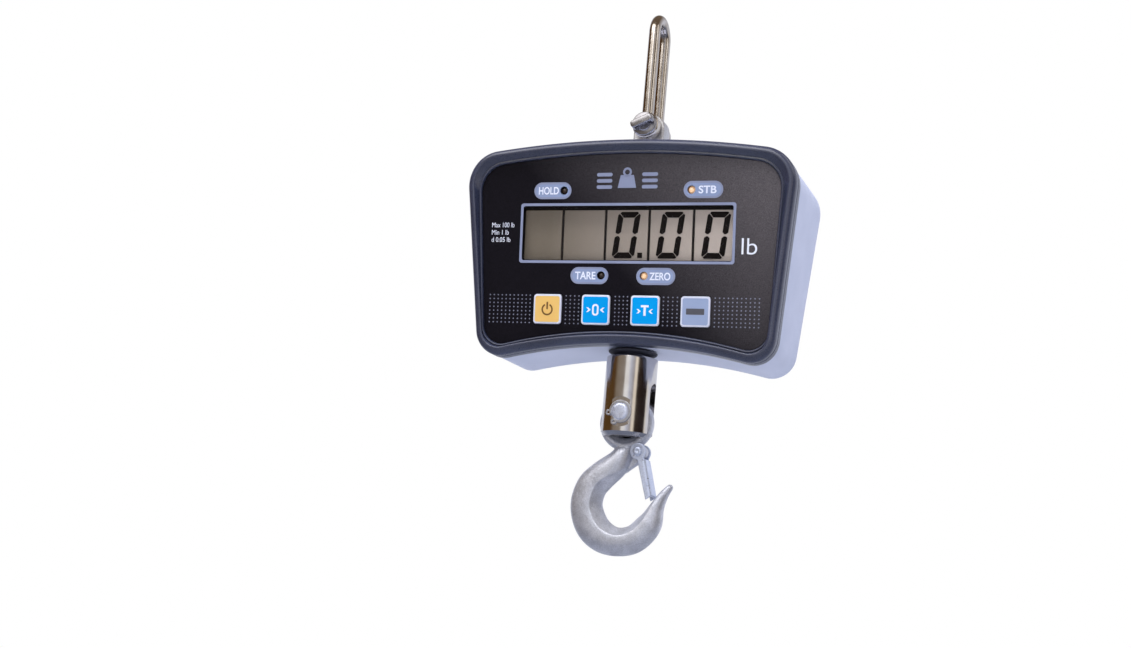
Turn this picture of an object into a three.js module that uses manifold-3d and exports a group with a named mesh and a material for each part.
// Hanging crane scale. A long shackle carries a load cell inside a wedge-fronted display casing, and a
// swivelling fork below the load cell carries a latched hook.
//
// Millimetres, +Z up, front towards -Y. The origin is the inner top of the shackle bow, on the load line,
// where a crane hook bears.

import * as THREE from 'three';
import { mergeVertices } from 'three/addons/utils/BufferGeometryUtils.js';
import Module from 'manifold-3d';

const wasm = await Module();
wasm.setup();

// ---- Driving dimensions -----------------------------------------------------------------------------------

const GAP = 0.3; // clearance between two pieces that meet

// Shackle, a bent round bar whose legs stand in the YZ plane
const BAR_R = 4;
const LEG_Y = 12.3; // from the load line to the middle of a leg
const SHACKLE_PIN_Z = -77.5;
const SHACKLE_PIN_R = 5;
const SHACKLE_EYE_R = 9.3;
const SHACKLE_EYE_HALF = 4.2;
const COLLAR_R = 8.6;
const COLLAR_T = 2.6;
const TAB = { width: 16, thickness: 5.5, round: 2.2, length: 7.6, turn: THREE.MathUtils.degToRad(24) };

// Casing, one outline seen from the front and run straight back along Y
const CASE = {
  top: -98.5,
  topR: 700,
  topCornerR: 24,
  sideX: 114.9,
  sideY: -136,
  slope: 0.1023,
  bottom: -234.2,
  bottomR: 372,
  bottomCornerR: 17.3,
};
const WALL = 3;
const BACK_Y = 41;
const INNER_BACK_Y = BACK_Y - WALL;
const RIM_T = 2.8; // wall of the bezel's rim
const SHELL_STEP = 0.6; // how far the rear shell stands in from the bezel

// Front panel, a plane that leans to face the reader below
const TILT = THREE.MathUtils.degToRad(8.5);
const PANEL_Y = -38.4;
const PANEL_Z = -160.95;
const OVERLAY = {
  top: 53.5,
  topR: 647,
  topCornerR: 18,
  sideX: 103.6,
  sideY: 0,
  slope: 0.059,
  bottom: -65.5,
  bottomR: 352,
  bottomCornerR: 13,
};
const OVERLAY_T = 0.8;

// Heights above the overlay's face, along the panel's normal; what lies behind it is negative
const BEZEL_CREST = 4;
const PLATE_FRONT = -1.1;
const PLATE_BACK = -3.6;
const BEZEL_BACK = -10.7;
const GASKET_T = 0.8;
const SHELL_FRONT = BEZEL_BACK - GASKET_T - 2 * GAP;
const BOARD_FRONT = -10;
const BOARD_T = 1.6;

// Display window and the five liquid crystal cells behind it
const WINDOW_W = 148.1;
const WINDOW_H = 37.2;
const LCD_PITCH = 30.8;
const LCD_BAR = 1.2; // what the frame leaves between two cells
const LCD_H = 40;
const LCD_FRONT = -4.2;
const LCD_BACK = -6;

// Keys, in one row below the window
const KEY_SIZE = 20;
const KEY_PITCH = 34.74;
const KEY_ROW_X = -1.35;
const KEY_ROW_V = -51.8;
const KEY_PROUD = 0.9;
const KEY_NAMES = ['key_power', 'key_zero', 'key_tare', 'key_hold'];
const KEY_COLOURS = [0xf0ad3c, 0x1f9bd8, 0x1f9bd8, 0x8f97b5];

// Indicator lamps: name, place on the panel, lit or not
const LED_R = 2.5;
const LEDS = [
  { name: 'led_hold', u: -44.9, v: 29, lit: false },
  { name: 'led_stable', u: 44.9, v: 29, lit: true },
  { name: 'led_tare', u: -16.1, v: -28.5, lit: false },
  { name: 'led_zero', u: 14.1, v: -28.5, lit: true },
];

// Fixings: radius and height of the head, radius of the shank
const BRACKET_SCREW = { headR: 3.6, headH: 2.6, shankR: 1.6, length: 12 };
const BOARD_SCREW = { headR: 2.8, headH: 1.8, shankR: 1.2, length: 7 };
const MAIN_BOARD_SCREW = { headR: 2.6, headH: 1.8, shankR: 1.1, length: 9 };
const CASE_SCREW = { headR: 3.6, headH: 2.4, shankR: 1.6, wellR: 4.2, wellDepth: 6 };
const DOOR_SCREW = { headR: 2.7, headH: 1.3, shankR: 1.4, seatR: 3, seatDepth: 1.9 };
const BOSS_R = 5;
const CASE_SCREW_PLACES = [[-97, -125], [97, -125], [-88, -226.5], [88, -226.5]];
const BOARD_SCREW_PLACES = [[-74, 36], [74, 36], [-74, -56], [74, -56]];
const BRACKET_SCREW_XS = [-50, 50];
const MAIN_BOARD_SCREW_PLACES = [[-93, -155], [-63, -205]];

// Load line inside the casing
const LUG_HALF_X = 11;
const LUG_HALF_Y = 7;
const LUG_BOTTOM = -114;
const STUD_R = 6;
const NUT_H = 7;
const NUT_ACROSS_CORNERS_R = 11;
const BRACKET_TOP = LUG_BOTTOM - NUT_H - 2 * GAP;
const BRACKET_T = 3;
const LOAD_CELL_TOP = BRACKET_TOP - BRACKET_T - GAP;
const LOAD_CELL_HEIGHT = 66;
const LOAD_CELL_HALF_X = 25;
const LOAD_CELL_HALF_Y = 9.5;

// Main board, which stands in front of the back wall
const MAIN_BOARD = { x: -78, z: -180, width: 40, height: 60, front: 24 };

// Battery and its door in the back wall
const BATTERY_Z = -165;
const BATTERY = { width: 78, height: 52, front: 13.5, back: 34.5 };
const DOOR_W = 96;
const DOOR_H = 62;
const DOOR_SCREW_XS = [-44, 44];

// Charging jack in the back wall
const JACK_X = 78;
const JACK_Z = -212;
const JACK_R = 5.1;
const JACK_RECESS_R = 7;
const JACK_RECESS_DEPTH = 2;

// Swivel barrel, a round fork that turns under the casing
const BARREL_R = 17.5;
const BARREL_TOP = -239.2;
const BARREL_BOTTOM = -293.7;
const BARREL_CHAMFER = 2.6;
const BARREL_ROOF = 4;
const CHAMBER_R = 13.5;
const SLOT_HALF_Y = 5.9;
const SLOT_TOP = -256.2;
const CLEVIS_Z = -278.2;
const CLEVIS_R = 6;
const CLIP_FACE_Y = 16.3; // spot faces for the pin's head and clip
const CLIP_FACE_R = 10.2;
const CLEVIS_HEAD_R = 8.4;
const CLIP_T = 1;
const CLIP_OUTER_R = 7.7;
const CLIP_LUG_R = 2;
const CLIP_LUG_HOLE_R = 0.8;

// Hook, an eye and a forged bowl in the XZ plane
const EYE_R = 19;
const EYE_HOLE_R = 12;
const EYE_HALF_Y = 5;
const EYE_Z = CLEVIS_Z + CLEVIS_R + GAP - EYE_HOLE_R;
const HOOK_CREASE_TURN = THREE.MathUtils.degToRad(75); // on a section whose bowl side is quite flat
const LATCH_PIVOT = new THREE.Vector2(11.1, -303);
const LATCH_PIN_R = 2;
const LATCH_PIN_HEAD_R = 3.2;
const LATCH_BOSS_R = 4.6;
const LATCH_EAR_R = 5.6;

// Stations along the hook's bar from the eye to the tip: middle of the section (x, z), half width across the
// bowl, half thickness along Y, and how flat the bowl side is, from 0, round, to 1
const HOOK_STATIONS = [
  [0.1, -299.6, 6.6, 4.7, 0.15],
  [-0.2, -302.9, 6.7, 6.2, 0.15],
  [-2.6, -308.3, 8, 7.6, 0.3],
  [-6.2, -313, 9.2, 8.2, 0.7],
  [-14.4, -320.4, 10.3, 8.5, 1],
  [-21, -328.1, 11, 8.5, 1],
  [-23.7, -340.6, 11.4, 8.5, 1],
  [-18.8, -353.7, 11.7, 8.5, 1],
  [-10.6, -360.9, 10.9, 8.5, 1],
  [0, -363.7, 9.7, 8.5, 1],
  [11.5, -361, 9.6, 8.2, 1],
  [21.2, -350.8, 8.8, 7.4, 1],
  [25.9, -338.7, 4.9, 5.6, 0.8],
  [30, -330.7, 3.1, 3.8, 0.5],
  [33.6, -325.7, 2.2, 2.6, 0.15],
];

// ---- Materials --------------------------------------------------------------------------------------------

function material(color, roughness, metalness) {
  return new THREE.MeshStandardMaterial({ color, roughness, metalness });
}

const STAINLESS = material(0xb9b4ac, 0.18, 1);
const ZINC = material(0xa8adb6, 0.45, 0.9);
const STEEL = material(0x8a8d92, 0.4, 1);
const ALUMINIUM = material(0xc2c5ca, 0.45, 0.9);
const BEZEL_PAINT = material(0x3a4358, 0.4, 0.1);
const SHELL_PAINT = material(0xb2b9d2, 0.45, 0.05);
const OVERLAY_FILM = material(0x17171c, 0.45, 0);
const BLACK_PLASTIC = material(0x111113, 0.6, 0);
const RUBBER = material(0x141416, 0.85, 0);
const LCD = material(0x9d948b, 0.3, 0);
const CLEAR = material(0xe8eef2, 0.05, 0);
const LAMP_ON = material(0xffc98a, 0.3, 0);
const LAMP_OFF = material(0x2a2224, 0.3, 0);
const BOARD = material(0x1f5a3a, 0.55, 0);
const BATTERY_WRAP = material(0x2b4a86, 0.5, 0);

// ---- Solids -----------------------------------------------------------------------------------------------

function toSolid(geometry) {
  const bare = geometry.clone();
  bare.deleteAttribute('normal');
  bare.deleteAttribute('uv');
  const merged = mergeVertices(bare, 1e-4);
  return new wasm.Manifold(new wasm.Mesh({
    numProp: 3,
    vertProperties: merged.attributes.position.array,
    triVerts: new Uint32Array(merged.index.array),
  }));
}

function toGeometry(solid) {
  const mesh = solid.getMesh();
  const geometry = new THREE.BufferGeometry();
  geometry.setAttribute('position', new THREE.BufferAttribute(new Float32Array(mesh.vertProperties), 3));
  geometry.setIndex(new THREE.BufferAttribute(new Uint32Array(mesh.triVerts), 1));
  geometry.computeVertexNormals();
  return geometry;
}

function union(...solids) {
  return solids.reduce((sum, next) => sum.add(next));
}

function cut(body, ...tools) {
  return tools.reduce((rest, tool) => rest.subtract(tool), body);
}

function block([x0, x1], [y0, y1], [z0, z1]) {
  const geometry = new THREE.BoxGeometry(x1 - x0, y1 - y0, z1 - z0);
  geometry.translate((x0 + x1) / 2, (y0 + y1) / 2, (z0 + z1) / 2);
  return toSolid(geometry);
}

// A round bar along one axis; centre holds its place on the other two axes, in X, Y, Z order
function bar(axis, radius, [from, to], centre, sides = 16) {
  const geometry = new THREE.CylinderGeometry(radius, radius, to - from, sides);
  const middle = (from + to) / 2;
  if (axis === 'x') {
    geometry.rotateZ(Math.PI / 2);
    geometry.translate(middle, centre[0], centre[1]);
  } else if (axis === 'y') {
    geometry.translate(centre[0], middle, centre[1]);
  } else {
    geometry.rotateX(Math.PI / 2);
    geometry.translate(centre[0], centre[1], middle);
  }
  return toSolid(geometry);
}

// Turns a profile of [radius, height] pairs about a line parallel to Z
function turned(profile, sides = 24) {
  const points = profile.map(([radius, height]) => new THREE.Vector2(radius, height));
  const geometry = new THREE.LatheGeometry(points, sides);
  geometry.rotateX(Math.PI / 2);
  return toSolid(geometry);
}

// Extrudes a shape along Z
function slab(shape, [from, to], curveSegments = 2) {
  const geometry = new THREE.ExtrudeGeometry(shape, { depth: to - from, bevelEnabled: false, curveSegments });
  geometry.translate(0, 0, from);
  return toSolid(geometry);
}

// Extrudes a shape drawn in the XZ plane along Y
function plate(shape, [from, to], curveSegments = 2) {
  const geometry = new THREE.ExtrudeGeometry(shape, { depth: to - from, bevelEnabled: false, curveSegments });
  geometry.rotateX(Math.PI / 2);
  geometry.translate(0, to, 0);
  return toSolid(geometry);
}

function roundedRect(width, height, radius, u = 0, v = 0) {
  const right = u + width / 2 - radius;
  const left = u - width / 2 + radius;
  const top = v + height / 2 - radius;
  const low = v - height / 2 + radius;
  const shape = new THREE.Shape();
  shape.absarc(right, low, radius, -Math.PI / 2, 0, false);
  shape.absarc(right, top, radius, 0, Math.PI / 2, false);
  shape.absarc(left, top, radius, Math.PI / 2, Math.PI, false);
  shape.absarc(left, low, radius, Math.PI, Math.PI * 1.5, false);
  shape.closePath();
  return shape;
}

function hexagon(cornerRadius) {
  const corners = Array.from({ length: 6 }, (_, i) => {
    const angle = (i * Math.PI) / 3;
    return new THREE.Vector2(cornerRadius * Math.cos(angle), cornerRadius * Math.sin(angle));
  });
  return new THREE.Shape(corners);
}

// Triangles that close a ring, wound the same way as its points. flatten gives a point's place in the cap's
// plane.
function capTriangles(ring, flatten) {
  const contour = ring.map(flatten);
  const triangles = THREE.ShapeUtils.triangulateShape(contour, []);
  return THREE.ShapeUtils.isClockWise(contour) ? triangles.map(([a, b, c]) => [c, b, a]) : triangles;
}

function signedVolume(points, triangles) {
  return triangles.reduce((sum, [a, b, c]) => sum + points[a].dot(points[b].clone().cross(points[c])), 0);
}

// Skins a run of rings with equal numbers of points and closes both ends
function loft(rings, flatten) {
  const count = rings[0].length;
  const points = rings.flat();
  const triangles = [];
  for (let start = 0; start + count < points.length; start += count) {
    for (let i = 0; i < count; i += 1) {
      const a = start + i;
      const b = start + ((i + 1) % count);
      triangles.push([a, b, b + count], [a, b + count, a + count]);
    }
  }
  const lastStart = points.length - count;
  capTriangles(rings[0], flatten).forEach(([a, b, c]) => triangles.push([c, b, a]));
  capTriangles(rings.at(-1), flatten).forEach((corners) => triangles.push(corners.map((i) => i + lastStart)));
  if (signedVolume(points, triangles) < 0) {
    triangles.forEach((corners) => corners.reverse());
  }
  const geometry = new THREE.BufferGeometry();
  geometry.setAttribute('position', new THREE.Float32BufferAttribute(points.flatMap((p) => p.toArray()), 3));
  geometry.setIndex(triangles.flat());
  return toSolid(geometry);
}

// ---- Outlines of the casing and the panel -----------------------------------------------------------------

function arcPoints(centre, radius, from, to, steps) {
  return Array.from({ length: steps + 1 }, (_, i) => {
    const angle = from + ((to - from) * i) / steps;
    return new THREE.Vector2(centre.x + radius * Math.cos(angle), centre.y + radius * Math.sin(angle));
  });
}

// The centre of a corner arc that touches the side line and the top or bottom arc. reach is the distance that
// the centre keeps from the middle of that arc.
function cornerCentre(outline, radius, arcMiddle, reach) {
  const length = Math.hypot(1, outline.slope);
  const normal = new THREE.Vector2(1, -outline.slope).divideScalar(length);
  const along = new THREE.Vector2(outline.slope, 1).divideScalar(length);
  const onSide = new THREE.Vector2(outline.sideX, outline.sideY).addScaledVector(normal, -radius);
  const offset = onSide.clone().sub(arcMiddle);
  const half = offset.dot(along);
  const travel = -half + Math.sqrt(half * half - offset.lengthSq() + reach * reach);
  return onSide.addScaledVector(along, travel);
}

// Steps along each arc of half an outline
const OUTLINE_STEPS = { bottom: 6, lowCorner: 5, topCorner: 6, top: 6 };

// A crowned top, sides that draw in downwards and a hollow bottom edge, as counter-clockwise points. Every
// outline has the same number of points, so that any two can be lofted together.
function crownedOutline(outline, inset) {
  const { topR, topCornerR, bottomR, bottomCornerR } = outline;
  const topMiddle = new THREE.Vector2(0, outline.top - topR);
  const bottomMiddle = new THREE.Vector2(0, outline.bottom - bottomR);
  const topCorner = cornerCentre(outline, topCornerR, topMiddle, topR - topCornerR);
  const lowCorner = cornerCentre(outline, bottomCornerR, bottomMiddle, bottomR + bottomCornerR);
  const sideAngle = Math.atan2(-outline.slope, 1);
  const topAngle = topCorner.clone().sub(topMiddle).angle();
  const lowAngle = lowCorner.clone().sub(bottomMiddle).angle();
  const lowStart = lowAngle - Math.PI;
  const right = [
    ...arcPoints(bottomMiddle, bottomR + inset, Math.PI / 2, lowAngle, OUTLINE_STEPS.bottom),
    ...arcPoints(lowCorner, bottomCornerR - inset, lowStart, sideAngle, OUTLINE_STEPS.lowCorner).slice(1),
    ...arcPoints(topCorner, topCornerR - inset, sideAngle, topAngle, OUTLINE_STEPS.topCorner),
    ...arcPoints(topMiddle, topR - inset, topAngle, Math.PI / 2, OUTLINE_STEPS.top).slice(1),
  ];
  const left = right.slice(1, -1).reverse().map((p) => new THREE.Vector2(-p.x, p.y));
  return [...right, ...left];
}

// The point on the plane at the given depth from the overlay's face that lies straight in front of (x, z), in
// the panel's own axes
function panelPoint(x, z, depth) {
  const v = (z - PANEL_Z + depth * Math.sin(TILT)) / Math.cos(TILT);
  return new THREE.Vector3(x, v, depth);
}

function caseRingOnPanel(inset, depth) {
  return crownedOutline(CASE, inset).map((p) => panelPoint(p.x, p.y, depth));
}

function overlayRing(inset, depth) {
  return crownedOutline(OVERLAY, inset).map((p) => new THREE.Vector3(p.x, p.y, depth));
}

const flatXY = (p) => new THREE.Vector2(p.x, p.y);
const flatXZ = (p) => new THREE.Vector2(p.x, p.z);

// ---- Groups -----------------------------------------------------------------------------------------------

const group = new THREE.Group();
const panel = new THREE.Group();
panel.position.set(0, PANEL_Y, PANEL_Z);
panel.rotation.x = Math.PI / 2 + TILT;
panel.updateMatrix();
group.add(panel);

function addPiece(parent, name, solid, look) {
  const mesh = new THREE.Mesh(toGeometry(solid), look);
  mesh.name = name;
  parent.add(mesh);
}

// ---- Shackle ----------------------------------------------------------------------------------------------

// The middle line of the bar: up the front leg, over the crown and down the rear leg
class BowCurve extends THREE.Curve {
  constructor(legFoot, crownZ) {
    super();
    this.crownCentreZ = crownZ - LEG_Y;
    this.legLength = this.crownCentreZ - legFoot;
    this.crownLength = Math.PI * LEG_Y;
  }

  getPoint(t) {
    const run = t * (2 * this.legLength + this.crownLength);
    if (run < this.legLength) {
      return new THREE.Vector3(0, -LEG_Y, this.crownCentreZ - this.legLength + run);
    }
    if (run < this.legLength + this.crownLength) {
      const angle = Math.PI - (run - this.legLength) / LEG_Y;
      return new THREE.Vector3(0, LEG_Y * Math.cos(angle), this.crownCentreZ + LEG_Y * Math.sin(angle));
    }
    return new THREE.Vector3(0, LEG_Y, this.crownCentreZ - (run - this.legLength - this.crownLength));
  }
}

function shackleBow() {
  const section = new THREE.Shape();
  section.absarc(0, 0, BAR_R, 0, 2 * Math.PI, false);
  const path = new BowCurve(SHACKLE_PIN_Z + SHACKLE_EYE_R - 3, BAR_R);
  const rod = toSolid(new THREE.ExtrudeGeometry(section, { steps: 30, extrudePath: path, curveSegments: 6 }));
  const eyes = [-LEG_Y, LEG_Y].map((y) => {
    const span = [y - SHACKLE_EYE_HALF, y + SHACKLE_EYE_HALF];
    return bar('y', SHACKLE_EYE_R, span, [0, SHACKLE_PIN_Z], 28);
  });
  const bore = bar('y', SHACKLE_PIN_R + GAP, [-30, 30], [0, SHACKLE_PIN_Z]);
  return cut(union(rod, ...eyes), bore);
}

// Screw pin: shank, round collar in front of the bow, and a flat thumb tab
function shacklePin() {
  const eyeFace = LEG_Y + SHACKLE_EYE_HALF;
  const collarBack = -eyeFace - GAP;
  const collarFront = collarBack - COLLAR_T;
  const shank = bar('y', SHACKLE_PIN_R, [collarBack - 1, eyeFace + 1.2], [0, SHACKLE_PIN_Z]);
  const collar = bar('y', COLLAR_R, [collarFront, collarBack], [0, SHACKLE_PIN_Z], 24);
  const outline = roundedRect(TAB.width, TAB.thickness, TAB.round);
  const extrusion = { depth: TAB.length, bevelEnabled: false, curveSegments: 4 };
  const tab = new THREE.ExtrudeGeometry(outline, extrusion);
  tab.rotateZ(TAB.turn);
  tab.rotateX(Math.PI / 2);
  tab.translate(0, collarFront + 0.5, SHACKLE_PIN_Z);
  return union(shank, collar, toSolid(tab));
}

addPiece(group, 'shackle_bow', shackleBow(), STAINLESS);
addPiece(group, 'shackle_pin', shacklePin(), STAINLESS);

// ---- Load line inside the casing --------------------------------------------------------------------------

// Flat eye that hangs on the shackle pin, with a threaded shank below
function topLug() {
  const head = new THREE.Shape();
  head.absarc(0, SHACKLE_PIN_Z, LUG_HALF_X, 0, Math.PI, false);
  head.lineTo(-LUG_HALF_X, LUG_BOTTOM);
  head.lineTo(LUG_HALF_X, LUG_BOTTOM);
  head.closePath();
  const eye = plate(head, [-LUG_HALF_Y, LUG_HALF_Y], 8);
  const shank = bar('z', STUD_R, [LOAD_CELL_TOP - 13, LUG_BOTTOM + 1], [0, 0]);
  const bore = bar('y', SHACKLE_PIN_R + GAP, [-20, 20], [0, SHACKLE_PIN_Z]);
  return cut(union(eye, shank), bore);
}

function nut(top) {
  const bore = bar('z', STUD_R + GAP, [top - NUT_H - 1, top + 1], [0, 0]);
  return cut(slab(hexagon(NUT_ACROSS_CORNERS_R), [top - NUT_H, top]), bore);
}

// Strap across the load cell's fixed end, from which the casing hangs
function cellBracket() {
  const bounds = [BRACKET_TOP - BRACKET_T, BRACKET_TOP];
  const strap = slab(roundedRect(114, 20, 4), bounds);
  const holes = BRACKET_SCREW_XS.map((x) => bar('z', 2.2, [-140, -110], [x, 0], 12));
  return cut(strap, bar('z', STUD_R + GAP, [-140, -110], [0, 0]), ...holes);
}

// Screw with its head below the strap and its shank in the casing's boss
function bracketScrew(x) {
  const { headR, headH, shankR, length } = BRACKET_SCREW;
  const headTop = BRACKET_TOP - BRACKET_T - GAP;
  const head = bar('z', headR, [headTop - headH, headTop], [x, 0], 12);
  return union(head, bar('z', shankR, [headTop - 0.5, headTop + length], [x, 0], 8));
}

// S-shaped beam: two slots from opposite sides leave a bending web between the fixed and the live end
function loadCell() {
  const slotH = 4;
  const armT = 18;
  const boreDepth = 14;
  const halfX = LOAD_CELL_HALF_X;
  const top = LOAD_CELL_TOP;
  const low = top - LOAD_CELL_HEIGHT;
  const body = block([-halfX, halfX], [-LOAD_CELL_HALF_Y, LOAD_CELL_HALF_Y], [low, top]);
  const upperSlot = block([-halfX - 1, halfX - 11], [-20, 20], [top - armT - slotH, top - armT]);
  const lowerSlot = block([11 - halfX, halfX + 1], [-20, 20], [low + armT, low + armT + slotH]);
  const window = bar('y', 7, [-20, 20], [0, (low + top) / 2]);
  const topBore = bar('z', STUD_R + GAP, [top - boreDepth, top + 1], [0, 0]);
  const lowBore = bar('z', STUD_R + GAP, [low - 1, low + boreDepth], [0, 0]);
  return cut(body, upperSlot, lowerSlot, window, topBore, lowBore);
}

function swivelStud() {
  return bar('z', STUD_R, [-255.6, LOAD_CELL_TOP - LOAD_CELL_HEIGHT + 13], [0, 0]);
}

addPiece(group, 'top_lug', topLug(), STEEL);
addPiece(group, 'lock_nut_upper', nut(LUG_BOTTOM - GAP), ZINC);
addPiece(group, 'cell_bracket', cellBracket(), STEEL);
BRACKET_SCREW_XS.forEach((x, i) => {
  addPiece(group, `bracket_screw_${i + 1}`, bracketScrew(x), ZINC);
});
addPiece(group, 'load_cell', loadCell(), ALUMINIUM);
addPiece(group, 'lock_nut_lower', nut(LOAD_CELL_TOP - LOAD_CELL_HEIGHT - GAP), ZINC);
addPiece(group, 'swivel_stud', swivelStud(), STEEL);

// ---- Bezel, overlay and gasket ----------------------------------------------------------------------------

function keyCentre(i) {
  return KEY_ROW_X + (i - 1.5) * KEY_PITCH;
}

function frontBezel() {
  const rolledEdge = [[0, BEZEL_BACK], [0, -0.4], [0.35, 1.4], [1.35, 2.9], [2.8, 3.8], [4.2, BEZEL_CREST]];
  const body = loft(rolledEdge.map(([inset, depth]) => caseRingOnPanel(inset, depth)), flatXY);
  const recess = loft([
    overlayRing(-GAP, PLATE_FRONT),
    overlayRing(-GAP, 0.9),
    caseRingOnPanel(5.2, BEZEL_CREST),
    caseRingOnPanel(5, BEZEL_CREST + 1),
  ], flatXY);
  const cavity = loft([caseRingOnPanel(RIM_T, BEZEL_BACK - 1), caseRingOnPanel(RIM_T, PLATE_BACK)], flatXY);
  const through = [PLATE_BACK - 1, 2];
  const windowHole = slab(roundedRect(WINDOW_W + 4, WINDOW_H + 4, 2), through);
  const keyHoles = KEY_NAMES.map((_, i) => {
    return slab(roundedRect(KEY_SIZE + 3, KEY_SIZE + 3, 2, keyCentre(i), KEY_ROW_V), through, 1);
  });
  const lampHoles = LEDS.map((led) => bar('z', LED_R + 0.4, through, [led.u, led.v], 12));
  const bossTop = PLATE_BACK + 0.5;
  const boardBosses = BOARD_SCREW_PLACES.map((place) => {
    return bar('z', 3.4, [BOARD_FRONT + GAP, bossTop], place, 12);
  });
  const pilotSpan = [BOARD_FRONT - 1, PLATE_BACK + 0.2];
  const boardPilots = BOARD_SCREW_PLACES.map((place) => {
    return bar('z', BOARD_SCREW.shankR + GAP, pilotSpan, place, 8);
  });
  const caseBosses = CASE_SCREW_PLACES.map(([x, z]) => {
    const foot = panelPoint(x, z, PLATE_BACK);
    return bar('z', BOSS_R, [BEZEL_BACK, bossTop], [foot.x, foot.y], 12);
  });
  const casePilots = CASE_SCREW_PLACES.map((place) => {
    return screwHole(place, CASE_SCREW.shankR + GAP, PLATE_BACK - 0.6);
  });
  const tray = union(cut(body, recess, cavity), ...boardBosses, ...caseBosses);
  return cut(tray, windowHole, ...keyHoles, ...lampHoles, ...boardPilots, ...casePilots);
}

// A hole along the casing's Y axis, in the panel's axes, from the given depth to well behind the bezel
function screwHole([x, z], radius, depth) {
  const front = PANEL_Y + frontAt(z, depth);
  const length = 30;
  const geometry = new THREE.CylinderGeometry(radius, radius, length, 12);
  geometry.translate(x, front + length / 2, z);
  geometry.applyMatrix4(panel.matrix.clone().invert());
  return toSolid(geometry);
}

// How far behind the panel's origin, along Y, the plane at the given depth lies at height z
function frontAt(z, depth) {
  const { y } = panelPoint(0, z, depth);
  return -y * Math.sin(TILT) - depth * Math.cos(TILT);
}

function frontOverlay() {
  const sheet = loft([overlayRing(0, -OVERLAY_T), overlayRing(0, 0)], flatXY);
  const through = [-OVERLAY_T - 1, 1];
  const windowHole = slab(roundedRect(WINDOW_W, WINDOW_H, 1.5), through);
  const keyHoles = KEY_NAMES.map((_, i) => {
    return slab(roundedRect(KEY_SIZE + 2 * GAP, KEY_SIZE + 2 * GAP, 2.2, keyCentre(i), KEY_ROW_V), through);
  });
  const lampHoles = LEDS.map((led) => bar('z', LED_R + GAP, through, [led.u, led.v], 12));
  return cut(sheet, windowHole, ...keyHoles, ...lampHoles);
}

function sealGasket() {
  const depths = [BEZEL_BACK - GAP - GASKET_T, BEZEL_BACK - GAP];
  const outer = loft(depths.map((depth) => caseRingOnPanel(0.9, depth)), flatXY);
  const inner = loft([depths[0] - 1, depths[1] + 1].map((depth) => caseRingOnPanel(RIM_T, depth)), flatXY);
  return cut(outer, inner);
}

addPiece(panel, 'front_bezel', frontBezel(), BEZEL_PAINT);
addPiece(panel, 'front_overlay', frontOverlay(), OVERLAY_FILM);
addPiece(panel, 'seal_gasket', sealGasket(), RUBBER);

// ---- Display and keys -------------------------------------------------------------------------------------

const LCD_W = LCD_PITCH - LCD_BAR;
const FRAME_FRONT = PLATE_BACK - GAP;

function lcdWindow() {
  return slab(roundedRect(WINDOW_W + 3.4, WINDOW_H + 3.4, 1.6), [PLATE_FRONT - 1, PLATE_FRONT]);
}

function lcdFrame() {
  const body = slab(roundedRect(5 * LCD_PITCH + 4, LCD_H + 5, 2), [BOARD_FRONT + GAP, FRAME_FRONT]);
  const openings = [-2, -1, 0, 1, 2].map((i) => {
    return slab(roundedRect(LCD_W, LCD_H, 0.8, i * LCD_PITCH), [BOARD_FRONT - 1, FRAME_FRONT + 1], 1);
  });
  return cut(body, ...openings);
}

function lcdCell(i) {
  return slab(roundedRect(LCD_W - 2 * GAP, LCD_H - 2 * GAP, 0.5, i * LCD_PITCH), [LCD_BACK, LCD_FRONT], 1);
}

addPiece(panel, 'lcd_window', lcdWindow(), CLEAR);
addPiece(panel, 'lcd_frame', lcdFrame(), BLACK_PLASTIC);
[-2, -1, 0, 1, 2].forEach((i) => {
  addPiece(panel, `lcd_cell_${i + 3}`, lcdCell(i), LCD);
});

// Key: cap through the overlay, flange held behind it, stem towards its switch
function keyCap(i) {
  const u = keyCentre(i);
  const flangeFront = -OVERLAY_T - GAP;
  const cap = slab(roundedRect(KEY_SIZE, KEY_SIZE, 2, u, KEY_ROW_V), [flangeFront - 0.5, KEY_PROUD]);
  const flangeSize = KEY_SIZE + 2;
  const flangeSpan = [flangeFront - 1.2, flangeFront];
  const flange = slab(roundedRect(flangeSize, flangeSize, 1.8, u, KEY_ROW_V), flangeSpan);
  const stem = bar('z', 3, [-5.9, flangeFront - 0.5], [u, KEY_ROW_V], 12);
  return union(cap, flange, stem);
}

KEY_NAMES.forEach((name, i) => {
  addPiece(panel, name, keyCap(i), material(KEY_COLOURS[i], 0.4, 0));
});

// Lamp: a straight body with a domed nose just under the overlay's face
function led({ u, v }) {
  const tip = -GAP;
  const dome = [0, 1, 2, 3, 4].map((i) => {
    const angle = (i * Math.PI) / 8;
    return [LED_R * Math.cos(angle), tip - LED_R + LED_R * Math.sin(angle)];
  });
  dome[4][0] = 0;
  const profile = [[0, BOARD_FRONT + GAP], [LED_R, BOARD_FRONT + GAP], ...dome];
  const points = profile.map(([radius, height]) => new THREE.Vector2(radius, height));
  const geometry = new THREE.LatheGeometry(points, 12);
  geometry.rotateX(Math.PI / 2);
  geometry.translate(u, v, 0);
  return toSolid(geometry);
}

LEDS.forEach((entry) => {
  addPiece(panel, entry.name, led(entry), entry.lit ? LAMP_ON : LAMP_OFF);
});

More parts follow.
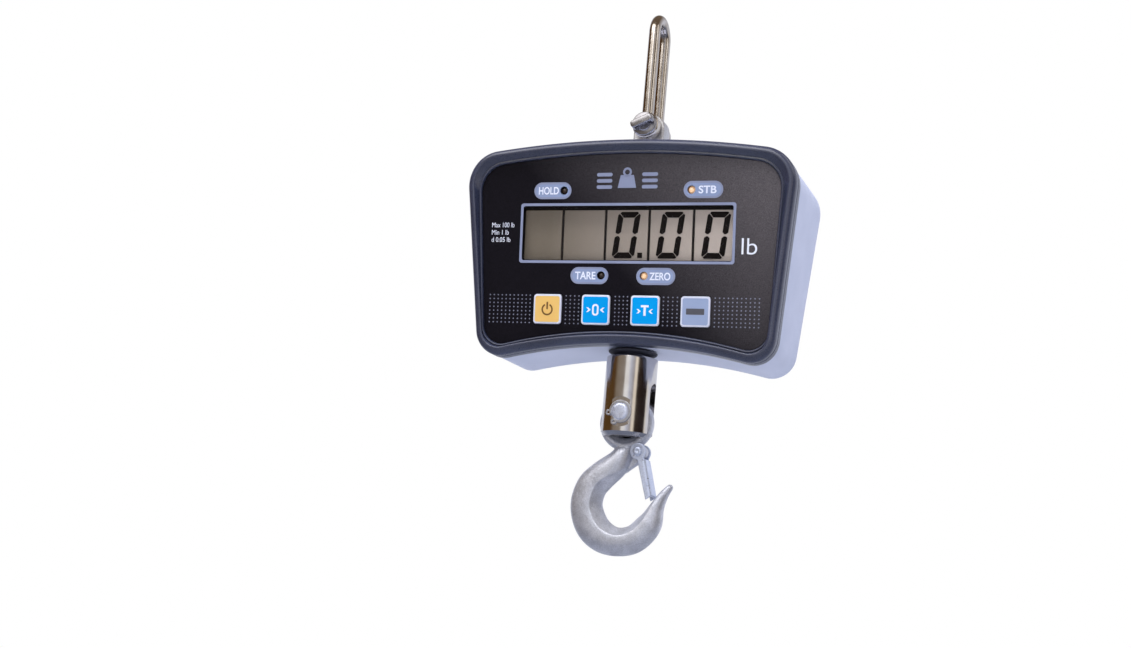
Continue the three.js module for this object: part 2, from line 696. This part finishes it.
// Board with one push switch soldered behind each key
function displayBoard() {
  const sheet = slab(roundedRect(160, 103, 3, 0, -9.5), [BOARD_FRONT - BOARD_T, BOARD_FRONT]);
  const switches = KEY_NAMES.map((_, i) => {
    const u = keyCentre(i);
    return block([u - 3, u + 3], [KEY_ROW_V - 3, KEY_ROW_V + 3], [BOARD_FRONT - 0.5, -6.9]);
  });
  const holeSpan = [BOARD_FRONT - 5, BOARD_FRONT + 1];
  const holes = BOARD_SCREW_PLACES.map((place) => bar('z', 1.7, holeSpan, place, 8));
  return cut(union(sheet, ...switches), ...holes);
}

function boardScrew(place) {
  const { headR, headH, shankR, length } = BOARD_SCREW;
  const headFront = BOARD_FRONT - BOARD_T - GAP;
  const head = bar('z', headR, [headFront - headH, headFront], place, 12);
  return union(head, bar('z', shankR, [headFront - 0.5, headFront + length], place, 8));
}

addPiece(panel, 'display_board', displayBoard(), BOARD);
BOARD_SCREW_PLACES.forEach((place, i) => {
  addPiece(panel, `board_screw_${i + 1}`, boardScrew(place), ZINC);
});

// ---- Rear shell -------------------------------------------------------------------------------------------

function shellRing(inset, y) {
  return crownedOutline(CASE, SHELL_STEP + inset).map((p) => new THREE.Vector3(p.x, y, p.y));
}

// A ring of the shell on a plane parallel to the panel
function shellRingOnPanel(inset, depth) {
  return crownedOutline(CASE, SHELL_STEP + inset).map((p) => {
    return new THREE.Vector3(p.x, PANEL_Y + frontAt(p.y, depth), p.y);
  });
}

function rearHousing() {
  const body = loft([
    shellRingOnPanel(0, SHELL_FRONT),
    shellRing(0, BACK_Y - 4),
    shellRing(0.6, BACK_Y - 1.8),
    shellRing(1.8, BACK_Y - 0.6),
    shellRing(4, BACK_Y),
  ], flatXZ);
  const cavity = loft([shellRingOnPanel(WALL, SHELL_FRONT + 2), shellRing(WALL, INNER_BACK_Y)], flatXZ);
  const additions = [...shellBosses(), doorFrame()];
  const cuts = [
    slab(roundedRect(27, 19, 4), [-112, -90]),
    bar('z', 13, [-245, -225], [0, 0], 24),
    plate(roundedRect(DOOR_W, DOOR_H, 3, 0, BATTERY_Z), [INNER_BACK_Y, BACK_Y + 1]),
    plate(roundedRect(DOOR_W - 16, DOOR_H - 8, 2, 0, BATTERY_Z), [INNER_BACK_Y - 5, INNER_BACK_Y + 1]),
    ...shellScrewHoles(),
    bar('y', JACK_R + GAP, [INNER_BACK_Y - 1, BACK_Y + 1], [JACK_X, JACK_Z], 20),
    bar('y', JACK_RECESS_R, [BACK_Y - JACK_RECESS_DEPTH, BACK_Y + 1], [JACK_X, JACK_Z], 20),
  ];
  return cut(union(cut(body, cavity), ...additions), ...cuts);
}

// Posts inside the shell: four for the case screws, two for the bracket, two for the main board
function shellBosses() {
  const postFront = MAIN_BOARD.front + BOARD_T + GAP;
  return [
    ...CASE_SCREW_PLACES.map(([x, z]) => {
      const front = PANEL_Y + frontAt(z - BOSS_R, SHELL_FRONT) + 1;
      return bar('y', BOSS_R, [front, INNER_BACK_Y + 1], [x, z], 12);
    }),
    ...BRACKET_SCREW_XS.map((x) => bar('z', 4.5, [BRACKET_TOP + GAP, -102.5], [x, 0], 12)),
    ...MAIN_BOARD_SCREW_PLACES.map((place) => bar('y', 3.6, [postFront, INNER_BACK_Y + 1], place, 8)),
  ];
}

// The thickened edge that the battery door's screws bite into
function doorFrame() {
  const border = 3;
  const halfW = DOOR_W / 2 + border;
  const halfH = DOOR_H / 2 + border;
  const depths = [INNER_BACK_Y - 3, INNER_BACK_Y + 0.5];
  return block([-halfW, halfW], depths, [BATTERY_Z - halfH, BATTERY_Z + halfH]);
}

function shellScrewHoles() {
  const doorSpan = [INNER_BACK_Y - 5, INNER_BACK_Y + 1];
  const boardSpan = [20, INNER_BACK_Y - 1];
  return [
    ...DOOR_SCREW_XS.map((x) => bar('y', DOOR_SCREW.shankR + GAP, doorSpan, [x, BATTERY_Z], 8)),
    ...CASE_SCREW_PLACES.flatMap((place) => [
      bar('y', 2.2, [-45, BACK_Y + 1], place, 8),
      bar('y', CASE_SCREW.wellR, [BACK_Y - CASE_SCREW.wellDepth, BACK_Y + 1], place, 20),
    ]),
    ...BRACKET_SCREW_XS.map((x) => bar('z', BRACKET_SCREW.shankR + GAP, [BRACKET_TOP - 1, -108], [x, 0], 8)),
    ...MAIN_BOARD_SCREW_PLACES.map((place) => bar('y', MAIN_BOARD_SCREW.shankR + GAP, boardSpan, place, 8)),
  ];
}

// Pan-head screw from behind, through the shell's boss and into the bezel's
function caseScrew([x, z]) {
  const { headR, headH, shankR, wellDepth } = CASE_SCREW;
  const headFront = BACK_Y - wellDepth + GAP;
  const tipY = PANEL_Y + frontAt(z, PLATE_BACK - 1.4);
  const head = bar('y', headR, [headFront, headFront + headH], [x, z], 12);
  return union(head, bar('y', shankR, [tipY, headFront + 1], [x, z], 8));
}

// Rubber grommet that closes the casing's top around the lug
function topSeal() {
  const hole = slab(roundedRect(2 * LUG_HALF_X + 2 * GAP, 2 * LUG_HALF_Y + 2 * GAP, 0.6), [-110, -90], 1);
  const flange = slab(roundedRect(33, 25, 6), [CASE.top + 0.5, CASE.top + 2.1]);
  const sleeve = slab(roundedRect(26.4, 18.4, 3.7), [-104, CASE.top + 1]);
  return cut(union(flange, sleeve), hole);
}

addPiece(group, 'rear_housing', rearHousing(), SHELL_PAINT);
addPiece(group, 'top_seal', topSeal(), RUBBER);
CASE_SCREW_PLACES.forEach((place, i) => {
  addPiece(group, `case_screw_${i + 1}`, caseScrew(place), ZINC);
});

// ---- Battery, main board and charging jack ----------------------------------------------------------------

function batteryDoor() {
  const { seatR, seatDepth } = DOOR_SCREW;
  const leaf = roundedRect(DOOR_W - 2 * GAP, DOOR_H - 2 * GAP, 2.7, 0, BATTERY_Z);
  const body = plate(leaf, [INNER_BACK_Y + GAP, BACK_Y - 0.2]);
  const holes = DOOR_SCREW_XS.flatMap((x) => [
    bar('y', 1.9, [INNER_BACK_Y - 1, BACK_Y + 1], [x, BATTERY_Z], 8),
    bar('y', seatR, [BACK_Y - seatDepth, BACK_Y + 1], [x, BATTERY_Z], 12),
  ]);
  return cut(body, ...holes);
}

function doorScrew(x) {
  const { headR, headH, shankR, seatDepth } = DOOR_SCREW;
  const headFront = BACK_Y - seatDepth + GAP;
  const head = bar('y', headR, [headFront, headFront + headH], [x, BATTERY_Z], 12);
  return union(head, bar('y', shankR, [INNER_BACK_Y - 3, headFront + 0.6], [x, BATTERY_Z], 8));
}

// Sheet with a processor, a connector and a relay-sized block soldered on its front
function mainBoard() {
  const { x: middleX, z: middleZ, width, height, front } = MAIN_BOARD;
  const sheet = plate(roundedRect(width, height, 2, middleX, middleZ), [front, front + BOARD_T]);
  const parts = [
    block([-88, -74], [front - 1.6, front + 0.5], [-182, -168]),
    block([-94, -70], [front - 6, front + 0.5], [-208, -202]),
    block([-72, -62], [front - 8, front + 0.5], [-172, -158]),
  ];
  const holes = MAIN_BOARD_SCREW_PLACES.map((place) => bar('y', 1.7, [front - 1, front + 3], place, 8));
  return cut(union(sheet, ...parts), ...holes);
}

function mainBoardScrew(place) {
  const { headR, headH, shankR, length } = MAIN_BOARD_SCREW;
  const headBack = MAIN_BOARD.front - GAP;
  const head = bar('y', headR, [headBack - headH, headBack], place, 12);
  return union(head, bar('y', shankR, [headBack - 0.5, headBack + length], place, 8));
}

function chargerJack() {
  const flangeBack = INNER_BACK_Y - GAP;
  const barrel = bar('y', JACK_R, [26, BACK_Y - JACK_RECESS_DEPTH - GAP], [JACK_X, JACK_Z], 20);
  const flange = bar('y', 7.5, [flangeBack - 2, flangeBack], [JACK_X, JACK_Z], 20);
  return cut(union(barrel, flange), bar('y', 2.9, [29, BACK_Y], [JACK_X, JACK_Z], 12));
}

function jackCap() {
  const discR = JACK_RECESS_R - 0.4;
  const disc = bar('y', discR, [BACK_Y - JACK_RECESS_DEPTH + GAP, BACK_Y - 0.2], [JACK_X, JACK_Z], 20);
  return union(disc, bar('y', 2.5, [32, BACK_Y - 1], [JACK_X, JACK_Z], 12));
}

function batteryPack() {
  return plate(roundedRect(BATTERY.width, BATTERY.height, 3, 0, BATTERY_Z), [BATTERY.front, BATTERY.back]);
}

addPiece(group, 'battery_pack', batteryPack(), BATTERY_WRAP);
addPiece(group, 'battery_door', batteryDoor(), SHELL_PAINT);
DOOR_SCREW_XS.forEach((x, i) => {
  addPiece(group, `door_screw_${i + 1}`, doorScrew(x), ZINC);
});
addPiece(group, 'main_board', mainBoard(), BOARD);
MAIN_BOARD_SCREW_PLACES.forEach((place, i) => {
  addPiece(group, `main_board_screw_${i + 1}`, mainBoardScrew(place), ZINC);
});
addPiece(group, 'charger_jack', chargerJack(), BLACK_PLASTIC);
addPiece(group, 'jack_cap', jackCap(), RUBBER);

// ---- Swivel -----------------------------------------------------------------------------------------------

// Lip seal between the casing's underside and the turning barrel
function neckSeal() {
  return turned([
    [STUD_R + 0.6, BARREL_TOP + GAP],
    [13.2, BARREL_TOP + GAP],
    [13.9, BARREL_TOP + 1.8],
    [16.8, CASE.bottom - 1],
    [12.6, CASE.bottom - 1],
    [12.6, CASE.bottom + 4],
    [STUD_R + 0.6, CASE.bottom + 4],
    [STUD_R + 0.6, BARREL_TOP + GAP],
  ]);
}

function swivelBarrel() {
  const body = turned([
    [0, BARREL_BOTTOM],
    [BARREL_R - BARREL_CHAMFER, BARREL_BOTTOM],
    [BARREL_R, BARREL_BOTTOM + BARREL_CHAMFER],
    [BARREL_R, BARREL_TOP - 0.8],
    [BARREL_R - 0.8, BARREL_TOP],
    [0, BARREL_TOP],
  ], 40);
  const roofUnder = BARREL_TOP - BARREL_ROOF;
  const slotArchZ = SLOT_TOP - SLOT_HALF_Y;
  const slot = union(
    block([-20, 20], [-SLOT_HALF_Y, SLOT_HALF_Y], [BARREL_BOTTOM - 1, slotArchZ]),
    bar('x', SLOT_HALF_Y, [-20, 20], [0, slotArchZ], 20),
  );
  const spotFaces = [[-20, -CLIP_FACE_Y], [CLIP_FACE_Y, 20]].map((span) => {
    return bar('y', CLIP_FACE_R, span, [0, CLEVIS_Z], 20);
  });
  return cut(
    body,
    bar('z', STUD_R + 0.6, [roofUnder - 1, BARREL_TOP + 1], [0, 0]),
    bar('z', CHAMBER_R, [SLOT_TOP - 2, roofUnder], [0, 0], 24),
    slot,
    bar('y', CLEVIS_R + GAP, [-20, 20], [0, CLEVIS_Z]),
    ...spotFaces,
  );
}

// Caged thrust bearing under the barrel's roof: two races with a groove of rollers between them
function thrustBearing() {
  const top = BARREL_TOP - BARREL_ROOF - GAP;
  return turned([
    [STUD_R + 0.5, top - 5],
    [12.7, top - 5],
    [12.7, top - 3.4],
    [11.9, top - 3.4],
    [11.9, top - 1.6],
    [12.7, top - 1.6],
    [12.7, top],
    [STUD_R + 0.5, top],
    [STUD_R + 0.5, top - 5],
  ]);
}

function swivelNut() {
  const top = BARREL_TOP - BARREL_ROOF - 5 - 2 * GAP;
  const bore = bar('z', STUD_R + GAP, [top - 8, top + 1], [0, 0]);
  return cut(slab(hexagon(NUT_ACROSS_CORNERS_R), [top - 6, top]), bore);
}

// Pin with a head behind the fork and a clip groove in front
function clevisPin() {
  const shank = bar('y', CLEVIS_R, [-18.6, CLIP_FACE_Y + GAP + 1], [0, CLEVIS_Z], 24);
  const head = bar('y', CLEVIS_HEAD_R, [CLIP_FACE_Y + GAP, CLIP_FACE_Y + 2.8], [0, CLEVIS_Z], 24);
  const grooveSpan = [-CLIP_FACE_Y - CLIP_T - 2 * GAP, -CLIP_FACE_Y - 0.1];
  const groove = cut(
    bar('y', CLEVIS_R + 1, grooveSpan, [0, CLEVIS_Z], 24),
    bar('y', CLEVIS_R - 0.7, grooveSpan, [0, CLEVIS_Z], 24),
  );
  return cut(union(shank, head), groove);
}

// Spring clip: an open ring that ends in two pierced lugs
function circlip() {
  const innerR = CLEVIS_R - 0.4;
  const lugMiddleR = CLIP_OUTER_R + 0.5;
  const lugAngles = [187, 240].map(THREE.MathUtils.degToRad);
  const span = [-CLIP_FACE_Y - GAP - CLIP_T, -CLIP_FACE_Y - GAP];
  const ring = new THREE.Shape();
  ring.absarc(0, CLEVIS_Z, CLIP_OUTER_R, lugAngles[1], lugAngles[0] + 2 * Math.PI, false);
  ring.absarc(0, CLEVIS_Z, innerR, lugAngles[0] + 2 * Math.PI, lugAngles[1], true);
  ring.closePath();
  const lugs = lugAngles.map((angle) => {
    return [lugMiddleR * Math.cos(angle), CLEVIS_Z + lugMiddleR * Math.sin(angle)];
  });
  const discs = lugs.map((centre) => bar('y', CLIP_LUG_R, span, centre, 12));
  const holes = lugs.map((centre) => bar('y', CLIP_LUG_HOLE_R, [-20, -15], centre, 8));
  const pinRoom = bar('y', innerR, [-20, -15], [0, CLEVIS_Z], 24);
  return cut(union(plate(ring, span, 7), ...discs), pinRoom, ...holes);
}

addPiece(group, 'neck_seal', neckSeal(), RUBBER);
addPiece(group, 'swivel_barrel', swivelBarrel(), STAINLESS);
addPiece(group, 'thrust_bearing', thrustBearing(), STEEL);
addPiece(group, 'swivel_nut', swivelNut(), ZINC);
addPiece(group, 'clevis_pin', clevisPin(), STAINLESS);
addPiece(group, 'circlip', circlip(), STAINLESS);

// ---- Hook -------------------------------------------------------------------------------------------------

// One section of the hook's bar: round on the back, with a crease on each side of a bowl face that comes to a
// blunt ridge
function hookSection(middle, outward, width, thickness, flatness) {
  const shift = -0.1 * width * flatness;
  const creaseAngle = Math.PI - HOOK_CREASE_TURN * flatness;
  const creaseAcross = shift + (width - shift) * Math.cos(creaseAngle);
  const creaseY = thickness * Math.sin(creaseAngle);
  const place = (across, y) => {
    return new THREE.Vector3(middle.x + outward.x * across, y, middle.y + outward.y * across);
  };
  const back = Array.from({ length: 13 }, (_, i) => {
    const angle = creaseAngle * (i / 6 - 1);
    return place(shift + (width - shift) * Math.cos(angle), thickness * Math.sin(angle));
  });
  const ridge = 2 - 0.7 * flatness;
  const bowl = [0.5, 0, -0.5].map((s) => {
    return place(-width + (creaseAcross + width) * Math.abs(s) ** ridge, creaseY * s);
  });
  return [...back, ...bowl];
}

function hookBar() {
  const spine = new THREE.CatmullRomCurve3(HOOK_STATIONS.map(([x, z]) => new THREE.Vector3(x, z, 0)));
  const sizes = new THREE.CatmullRomCurve3(HOOK_STATIONS.map(([, , ...size]) => new THREE.Vector3(...size)));
  const steps = 24;
  const ringAt = (t, scale, beyond) => {
    const along = spine.getTangent(t);
    const outward = new THREE.Vector2(along.y, -along.x);
    const middle = spine.getPoint(t).addScaledVector(along, beyond);
    const size = sizes.getPoint(t);
    return hookSection(middle, outward, size.x * scale, size.y * scale, size.z);
  };
  const rings = Array.from({ length: steps + 1 }, (_, i) => ringAt(i / steps, 1, 0));
  rings.push(ringAt(1, 0.8, 1.2), ringAt(1, 0.4, 1.9));
  return loft(rings, flatXY);
}

// The thick side of the neck that the latch turns on
function latchBoss() {
  const { x, y } = LATCH_PIVOT;
  const shape = new THREE.Shape();
  shape.moveTo(0, y + 5);
  shape.lineTo(x, y + LATCH_BOSS_R);
  shape.absarc(x, y, LATCH_BOSS_R, Math.PI / 2, -Math.PI * 0.45, true);
  shape.lineTo(9.5, y - 8);
  shape.lineTo(1, y - 14.5);
  shape.closePath();
  return plate(shape, [-1, 4.6], 4);
}

function hook() {
  const tube = (EYE_R - EYE_HOLE_R) / 2;
  const ring = new THREE.TorusGeometry(EYE_HOLE_R + tube, tube, 8, 24);
  ring.rotateX(Math.PI / 2);
  ring.scale(1, EYE_HALF_Y / tube, 1);
  ring.translate(0, 0, EYE_Z);
  const pivotHole = bar('y', LATCH_PIN_R + GAP, [-10, 10], [LATCH_PIVOT.x, LATCH_PIVOT.y], 12);
  return cut(union(toSolid(ring), hookBar(), latchBoss()), pivotHole);
}

// ---- Latch ------------------------------------------------------------------------------------------------

const LATCH_ALONG = new THREE.Vector2(9.9, -33).normalize();
const LATCH_OUTWARD = new THREE.Vector2(-LATCH_ALONG.y, LATCH_ALONG.x);
const LATCH_HALF_Y = 6.6;
const LATCH_SHEET = 1.6;

// A place on the latch, measured from its pivot along its length and out towards the mouth of the hook
function latchPoint(along, outward) {
  return LATCH_PIVOT.clone().addScaledVector(LATCH_ALONG, along).addScaledVector(LATCH_OUTWARD, outward);
}

function latchPlate(corners, halfY) {
  const points = corners.map(([along, outward]) => latchPoint(along, outward));
  return plate(new THREE.Shape(points), [-halfY, halfY]);
}

// Folded sheet: two pierced ears, two flanges and a web that closes the mouth
function hookLatch() {
  const centre = [LATCH_PIVOT.x, LATCH_PIVOT.y];
  const ears = bar('y', LATCH_EAR_R, [-LATCH_HALF_Y, LATCH_HALF_Y], centre, 24);
  const channel = latchPlate([[0, -1.5], [33, -1.5], [31.2, 3.5], [0, 4.2]], LATCH_HALF_Y);
  const inside = latchPlate([[-8, -8], [40, -8], [40, 2.2], [-8, 2.2]], LATCH_HALF_Y - LATCH_SHEET);
  const neckRoom = latchPlate([[-8, -8], [6.5, -8], [6.5, 8], [-8, 8]], LATCH_HALF_Y - LATCH_SHEET);
  const pivotHole = bar('y', LATCH_PIN_R + GAP, [-10, 10], centre, 12);
  return cut(union(ears, channel), inside, neckRoom, pivotHole);
}

function latchPin() {
  const centre = [LATCH_PIVOT.x, LATCH_PIVOT.y];
  const headFace = LATCH_HALF_Y + GAP;
  const shank = bar('y', LATCH_PIN_R, [-headFace - 0.5, headFace + 0.5], centre, 12);
  const heads = [[-headFace - 1, -headFace], [headFace, headFace + 1]].map((span) => {
    return bar('y', LATCH_PIN_HEAD_R, span, centre, 12);
  });
  return union(shank, ...heads);
}

// Torsion spring beside the boss: two turns round the pin and an arm along the inside of the web
function latchSpring() {
  const wireR = 0.5;
  const coilR = 2.9;
  const turns = 2;
  const steps = 8 * turns;
  const startAngle = Math.atan2(LATCH_OUTWARD.y, LATCH_OUTWARD.x);
  const coil = Array.from({ length: steps + 1 }, (_, i) => {
    const angle = startAngle + (2 * Math.PI * (i - steps)) / 8;
    const x = LATCH_PIVOT.x + coilR * Math.cos(angle);
    const z = LATCH_PIVOT.y + coilR * Math.sin(angle);
    return new THREE.Vector3(x, -1.9 - (2.3 * i) / steps, z);
  });
  const arm = [[9, 1.3], [18, 1.3]].map(([along, outward]) => {
    const point = latchPoint(along, outward);
    return new THREE.Vector3(point.x, -4, point.y);
  });
  const section = new THREE.Shape();
  section.absarc(0, 0, wireR, 0, 2 * Math.PI, false);
  const path = new THREE.CatmullRomCurve3([...coil, ...arm]);
  return toSolid(new THREE.ExtrudeGeometry(section, { steps: 36, extrudePath: path, curveSegments: 3 }));
}

addPiece(group, 'hook', hook(), ZINC);
addPiece(group, 'hook_latch', hookLatch(), ZINC);
addPiece(group, 'latch_pin', latchPin(), ZINC);
addPiece(group, 'latch_spring', latchSpring(), STAINLESS);

export default group;
